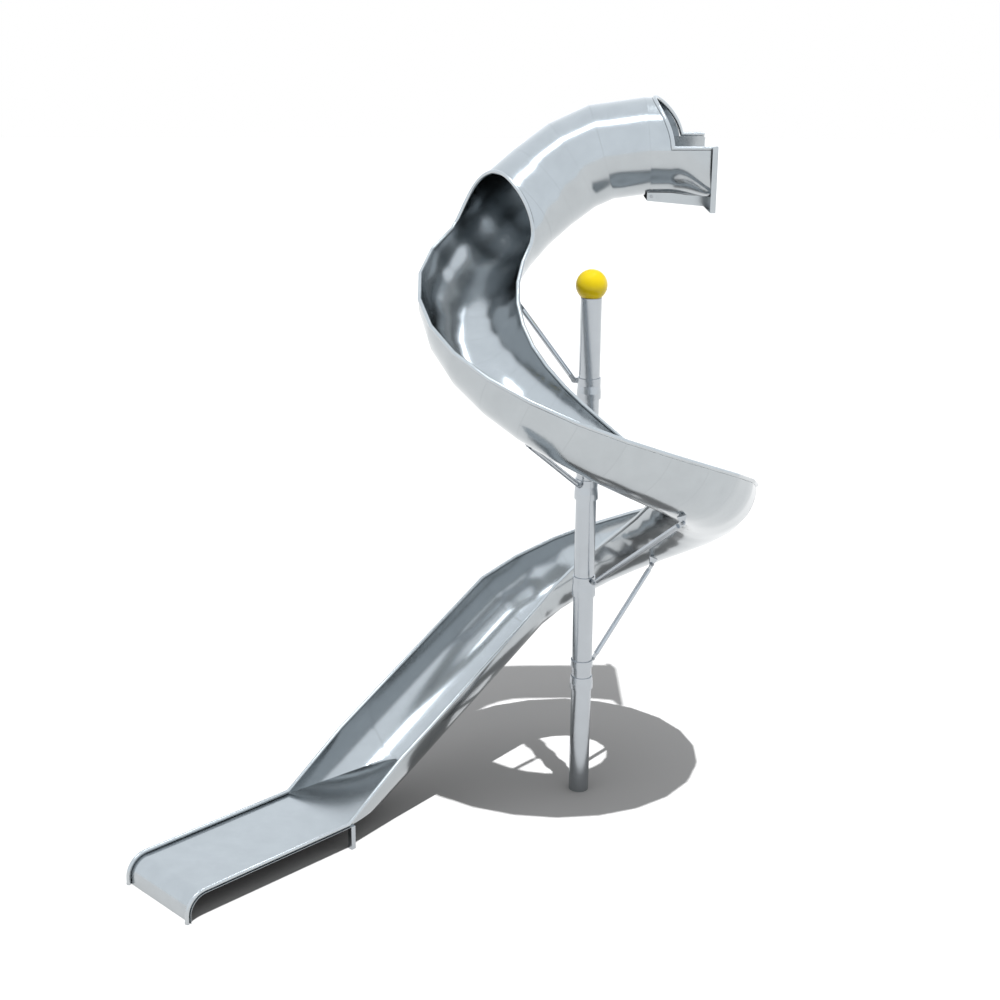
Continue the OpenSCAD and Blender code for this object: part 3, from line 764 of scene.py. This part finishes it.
run_rows = [-bed_lead + bed_lead * i / lead_rows for i in range(lead_rows)]
run_rows += [bed_start * i / fall_rows for i in range(fall_rows + 1)]
stand_for(sheet_body("run_out_sheet", [run_row(t, shell_r, sheet) for t in run_rows],
                     [run_row(t, inner_r, 0) for t in run_rows], finish=sheet_steel),
          "run_out_transition")
print("rows of the transition:", len(run_rows))

# %% [markdown]
# The bed is one flat sheet that rolls down at its end, so that nobody meets a
# bare edge. Its side view is a line and a quarter circle, drawn once for the
# top face and once for the underside, and both are stretched across the width.

# %% Bed with its lip
bed_len, bed_w, lip_r = 2.150, 0.824, 0.150
flat_rows, lip_steps = 8, 24
bed_sides = (1, 0.5, 0, -0.5, -1)


def bed_line(drop):
    """Side view of the bed at a depth of drop below its top face."""
    bend = [math.radians(90 - 90 * i / lip_steps) for i in range(lip_steps + 1)]
    flat = [(bed_start + (bed_len - lip_r - bed_start) * i / flat_rows, bed_z - drop)
            for i in range(flat_rows)]
    lip = [(bed_len - lip_r + (lip_r - drop) * math.cos(a),
            bed_z - lip_r + (lip_r - drop) * math.sin(a)) for a in bend]
    return flat + lip + [(bed_len - drop, 0.0)]


def bed_rows(drop):
    """Rows across the bed."""
    return [[run_pt(t, side * bed_w / 2, z) for side in bed_sides] for t, z in bed_line(drop)]


stand_for(sheet_body("bed_sheet", bed_rows(0), bed_rows(sheet), finish=sheet_steel),
          "run_out_bed")
print("bed:", bed_len, "by", bed_w, "m, lip radius", lip_r)

# %% [markdown]
# ## Edge tubes
#
# A thin tube covers every edge that a hand could touch. On the real slide it is
# welded on in short straight lengths, mitred at the same stations as the sheet.
# A curve with a round bevel rounds off its corners and twists at the mouth. So
# the path is a list of corners, and a ring is carried along it from mitre
# plane to mitre plane.

# %% Path along the shell and the mouth
rim_r, rim_wall, seat_gap = 0.017, 0.0025, 0.0003
rim_up = rim_r + seat_gap
arch_steps = 32
look_aside, mouth_gap, foot_rims = 0.02, 0.0005, 1.5


def edge_at(k, side):
    """Centre of the edge tube at station k."""
    return at(k, side * edge_r, rim_up)


def lean_pt(a, r):
    """Point of the mouth's edge."""
    return on_piece(mouth_f(a), r, a)


def mouth_edge(a):
    """Centre of the edge tube round the mouth."""
    c = lean_pt(a, edge_r)
    along = lean_pt(a + look_aside, edge_r) - lean_pt(a - look_aside, edge_r)
    away = along.cross(c - lean_pt(a, inner_r / 2)).normalized()
    return c + away * (rim_up + mouth_gap) * math.copysign(1, away.dot(tangents[mouth_st]))


def mouth_foot(side):
    """Centre of the edge tube where the mouth meets the open edge."""
    return edge_at(mouth_st, side) + tangents[mouth_st] * foot_rims * rim_up


mouth_path = [mouth_edge(math.pi * i / arch_steps) for i in range(1, arch_steps)]
print("corners round the mouth:", len(mouth_path))

# %% Path along the run-out, and the whole path
lip_corners = 16
wall_fall = math.atan((end_z - bed_z) / wall_end)
meet = (wall_fall + math.radians(straight_slope)) / 2
run_side = [(0.0, end_z + rim_up / math.cos(meet)),
            (wall_end + rim_up * math.tan(wall_fall / 2), bed_z + rim_up)]
lip_turn = [math.radians(90 - 90 * i / lip_corners) for i in range(lip_corners + 1)]
run_side += [(bed_len - lip_r + (lip_r + rim_up) * math.cos(a),
              bed_z - lip_r + (lip_r + rim_up) * math.sin(a)) for a in lip_turn]
run_side.append((bed_len + rim_up, 0.0))


def run_rim(side):
    """Edge tube of the run-out on one side, downhill."""
    return [run_pt(t, side * edge_r, z) for t, z in run_side]


outer_path = run_rim(-1)[::-1] + [edge_at(k, 1) for k in range(last_st, mouth_st, -1)]
inner_path = [edge_at(k, -1) for k in range(mouth_st + 1, last_st + 1)] + run_rim(1)
rim_path = outer_path + [mouth_foot(1)] + mouth_path + [mouth_foot(-1)] + inner_path
print("edge tube corners:", len(rim_path))

# %% Sweep a ring along a path of straight lengths
rim_sides = 28
steep = 0.9


def path_plane(path, i):
    """Normal of the mitre plane at corner i."""
    before = (path[i] - path[i - 1]).normalized()
    return (before + (path[i + 1] - path[i]).normalized()).normalized()


def swept(path, r, end_normal):
    """Rings of a tube with mitred corners; both ends lie on planes with end_normal."""
    t = (path[1] - path[0]).normalized()
    side = t.cross(Vector((1, 0, 0)) if abs(t.z) > steep else Vector((0, 0, 1))).normalized()
    other = t.cross(side)
    first = []
    for i in range(rim_sides):
        w = 2 * math.pi * (i + 0.5) / rim_sides
        q = r * (side * math.cos(w) + other * math.sin(w))
        first.append(path[0] + q - t * (q.dot(end_normal) / t.dot(end_normal)))
    made = [first]
    for i in range(1, len(path)):
        t = (path[i] - path[i - 1]).normalized()
        n = end_normal if i == len(path) - 1 else path_plane(path, i)
        made.append([q + t * ((path[i] - q).dot(n) / t.dot(n)) for q in made[-1]])
    return made


rim_grids = [swept(rim_path, r, Vector((0, 0, 1))) for r in (rim_r, rim_r - rim_wall)]
print("rings of the edge tube:", len(rim_grids[0]), "with", rim_sides, "points each")


# %% Edge tubes of the trough
def rim(name, node, a, b):
    """Stretch of the edge tube between two corners of the path."""
    grids = [grid[a:b + 1] for grid in rim_grids]
    piece = sheet_body(name, *grids, finish=rim_steel, slot="rim_steel", closed=True)
    stand_for(piece, node)


run_n = len(run_side)
outer_foot = run_n + last_st - mouth_st
inner_foot = outer_foot + arch_steps
inner_run = inner_foot + last_st - mouth_st
for i, (a, b) in enumerate(zip(section_ends, section_ends[1:]), start=1):
    first = max(a, mouth_st + 1)
    rim(f"outer_edge_{i}", f"outer_rim_{i}", run_n + last_st - b, run_n + last_st - first)
    rim(f"inner_edge_{i}", f"inner_rim_{i}", inner_foot + first - mouth_st,
        inner_foot + b - mouth_st)
rim("outer_edge_straight", "outer_rim_straight", run_n, run_n + 1)
rim("inner_edge_straight", "inner_rim_straight", inner_run - 1, inner_run)
rim("outer_edge_run_out", "outer_rim_run_out", 0, run_n)
rim("inner_edge_run_out", "inner_rim_run_out", inner_run, len(rim_path) - 1)
rim("mouth_edge", "mouth_rim", outer_foot - 1, inner_foot + 1)
print("stretches of the edge tube:", 2 * len(section_ends) + 3)

# %% [markdown]
# The tube round the entrance is bent on its own. It follows the slanted hood
# and runs out along both walls to the flange. The hood's edge slants, so the
# tube's centre stands off by a little more where the slant is steep, and its
# straight lengths never cut into the sheet.

# %% Edge tube of the entrance
chord_gap = 0.0015
first_arch = 3
outer_rim_z = outer_wall_up + rim_up


def entry_edge(a, up):
    """Centre of the entrance's edge tube at angle a."""
    slant = entry_skew * math.sin(a)
    slant += entry_lean * entry_round * max(0.0, math.sin(a)) ** (entry_round - 1) * math.cos(a)
    off = rim_up * math.hypot(shell_r, slant) / shell_r + chord_gap
    return Vector((hood_x(a) + off, turn_radius + edge_r * math.cos(a), start_axis_z + up))


entry_path = [Vector((start_x, turn_radius + edge_r * math.cos(outer_a),
                      start_axis_z + outer_rim_z)), entry_edge(outer_a, outer_rim_z)]
for i in range(first_arch, arch_steps):
    arch_a = math.pi * i / arch_steps
    entry_path.append(entry_edge(arch_a, edge_r * math.sin(arch_a)))
entry_path.append(entry_edge(math.pi, rim_up))
entry_path.append(Vector((start_x, turn_radius - edge_r, start_axis_z + rim_up)))
entry_grids = [swept(entry_path, r, Vector((1, 0, 0))) for r in (rim_r, rim_r - rim_wall)]
entry = sheet_body("entry_edge", *entry_grids, finish=rim_steel, slot="rim_steel", closed=True)
stand_for(entry, "entry_rim")
print("corners of the entrance's edge tube:", len(entry_path))

# %% [markdown]
# ## Camera
#
# The camera stands in front of the slide, a little higher than its top, and
# looks down. A longer lens from farther off would flatten the spiral, and a
# wider one would stretch it. The small shift moves the picture sideways without
# turning the camera, as a shift lens does.

# %% Camera
camera_data = bpy.data.cameras.new("camera")
camera_data.lens = 58.93
camera_data.sensor_width = 36
camera_data.shift_x, camera_data.shift_y = 0.0504, 0.0009
camera = bpy.data.objects.new("camera", camera_data)
camera.location = (-0.8763, -12.7961, 6.6911)
camera.rotation_euler = [math.radians(d) for d in (72.29, 0, 1.08)]
bpy.context.scene.collection.objects.link(camera)
bpy.context.scene.camera = camera
print("camera height:", round(camera.location.z, 2), "m, lens:", camera_data.lens)

# %% [markdown]
# ## Floor
#
# The slide stands on a white floor that runs on past the picture, so that no
# horizon shows. It lies one millimetre below the part, because two faces in
# the same plane flicker. It is dull, so it takes the shadow and no reflection.

# %% Floor
floor_half, floor_drop = 60, 0.001
floor_bm = bmesh.new()
bmesh.ops.create_grid(floor_bm, x_segments=1, y_segments=1, size=floor_half)
floor_mesh = bpy.data.meshes.new("floor")
floor_bm.to_mesh(floor_mesh)
floor_bm.free()
floor = bpy.data.objects.new("floor", floor_mesh)
floor.location.z = -floor_drop
bpy.context.scene.collection.objects.link(floor)
floor_paint, _, floor_shader = new_material("floor_paint")
floor_shader.inputs["Base Color"].default_value = (0.86, 0.86, 0.86, 1)
floor_shader.inputs["Roughness"].default_value = 0.9
floor_shader.inputs["Specular IOR Level"].default_value = 0.0
floor_mesh.materials.append(floor_paint)
print("floor:", 2 * floor_half, "m wide")

# %% [markdown]
# ## World
#
# Steel has little colour of its own: it shows what is round it. A studio hangs
# lamp boxes over it and puts pale walls round it. Area lamps could do the same,
# but each would also light the floor and throw a shadow. So the world is told
# apart by what looks at it:
#
# - the camera sees plain white,
# - the floor and the plastic get a soft light that comes mostly from above,
# - the steel reflects a pale sky with two bright lamp boxes overhead.

# %% Node helpers of the world
world = bpy.data.worlds.new("studio")
bpy.context.scene.world = world
world.use_nodes = True
sky = world.node_tree
sky.nodes.clear()
ray = sky.nodes.new("ShaderNodeLightPath").outputs
way = sky.nodes.new("ShaderNodeSeparateXYZ")
sky.links.new(sky.nodes.new("ShaderNodeTexCoord").outputs["Generated"], way.inputs[0])


def math_node(operation, *values):
    """Math node of the world; each value is a number or a socket."""
    node = sky.nodes.new("ShaderNodeMath")
    node.operation = operation
    for socket, value in zip(node.inputs, values):
        if isinstance(value, (int, float)):
            socket.default_value = value
        else:
            sky.links.new(value, socket)
    return node.outputs[0]


def background(color, strength):
    """Background node; returns its shader socket."""
    node = sky.nodes.new("ShaderNodeBackground")
    node.inputs["Color"].default_value = (*color, 1)
    if isinstance(strength, (int, float)):
        node.inputs["Strength"].default_value = strength
    else:
        sky.links.new(strength, node.inputs["Strength"])
    return node.outputs[0]


def mix_shader(factor, first, second):
    """Mix of two shaders; returns its shader socket."""
    node = sky.nodes.new("ShaderNodeMixShader")
    for socket, value in zip(node.inputs, (factor, first, second)):
        sky.links.new(value, socket)
    return node.outputs[0]


print("world:", world.name)

# %% [markdown]
# A ray that leaves the slide meets a lamp box when its slope to the east and
# to the north falls within the box. The boxes show in the first reflection
# only, because their glints would wander all over the inside of the shell.

# %% Lamp boxes
box_glow, sky_glow = 7.0, 1.42
first_reflection, before_floor = 1.5, 0.5


def lamp_box(middle_x, half_x, middle_y, half_y):
    """1 where a ray meets a flat box overhead; sizes for a box 1 m above the slide."""
    east = math_node("DIVIDE", way.outputs["X"], way.outputs["Z"])
    north = math_node("DIVIDE", way.outputs["Y"], way.outputs["Z"])
    inside = math_node("MULTIPLY", math_node("COMPARE", east, middle_x, half_x),
                       math_node("COMPARE", north, middle_y, half_y))
    return math_node("MULTIPLY", inside, math_node("GREATER_THAN", way.outputs["Z"], 0.0))


boxes = math_node("MAXIMUM",
                  lamp_box(middle_x=-0.16, half_x=0.30, middle_y=-0.25, half_y=0.10),
                  lamp_box(middle_x=0.25, half_x=0.09, middle_y=0.28, half_y=0.16))
seen_boxes = math_node("MULTIPLY", boxes,
                       math_node("LESS_THAN", ray["Glossy Depth"], first_reflection))
glow = math_node("MULTIPLY_ADD", seen_boxes, box_glow, sky_glow)
print("lamp boxes glow at", box_glow + sky_glow, "over a sky of", sky_glow)

# %% World shader
side_light, top_light = 0.02, 0.64
soft_light = map_range(sky, way.outputs["Z"], 0.0, 1.0, side_light, top_light)
soft = background((0.98, 0.99, 1.0), soft_light)
steel_sky = background((0.90, 0.95, 1.0), glow)
white = background((1, 1, 1), 1.0)
by_steel = math_node("MULTIPLY", ray["Is Glossy Ray"],
                     math_node("LESS_THAN", ray["Diffuse Depth"], before_floor))
seen_world = mix_shader(ray["Is Camera Ray"], mix_shader(by_steel, soft, steel_sky), white)
world_out = sky.nodes.new("ShaderNodeOutputWorld")
sky.links.new(seen_world, world_out.inputs["Surface"])
print("world nodes:", len(sky.nodes))

# %% [markdown]
# ## Sun
#
# One lamp gives the crisp shadow on the floor. A sun throws the same shadow
# from every place, which suits an object five metres high. The steel doesn't
# see it: a point that small would only give scattered sparks, and the lamp
# boxes already make the highlights.
#
# Light that steel would throw back on the floor is left out, so the shade
# under the bed stays deep.

# %% Sun
sun_data = bpy.data.lights.new("sun", "SUN")
sun_data.energy = 3.4
sun_data.angle = math.radians(0.6)
sun = bpy.data.objects.new("sun", sun_data)
sun_from = Vector((0.10, -0.24, 1.0)).normalized()
sun.rotation_euler = sun_from.to_track_quat("Z", "Y").to_euler()
sun.visible_glossy = False
bpy.context.scene.collection.objects.link(sun)
bpy.context.scene.view_settings.view_transform = "Standard"
bpy.context.scene.cycles.caustics_reflective = False
print("sun height:", round(math.degrees(math.asin(sun_from.z))), "degrees")
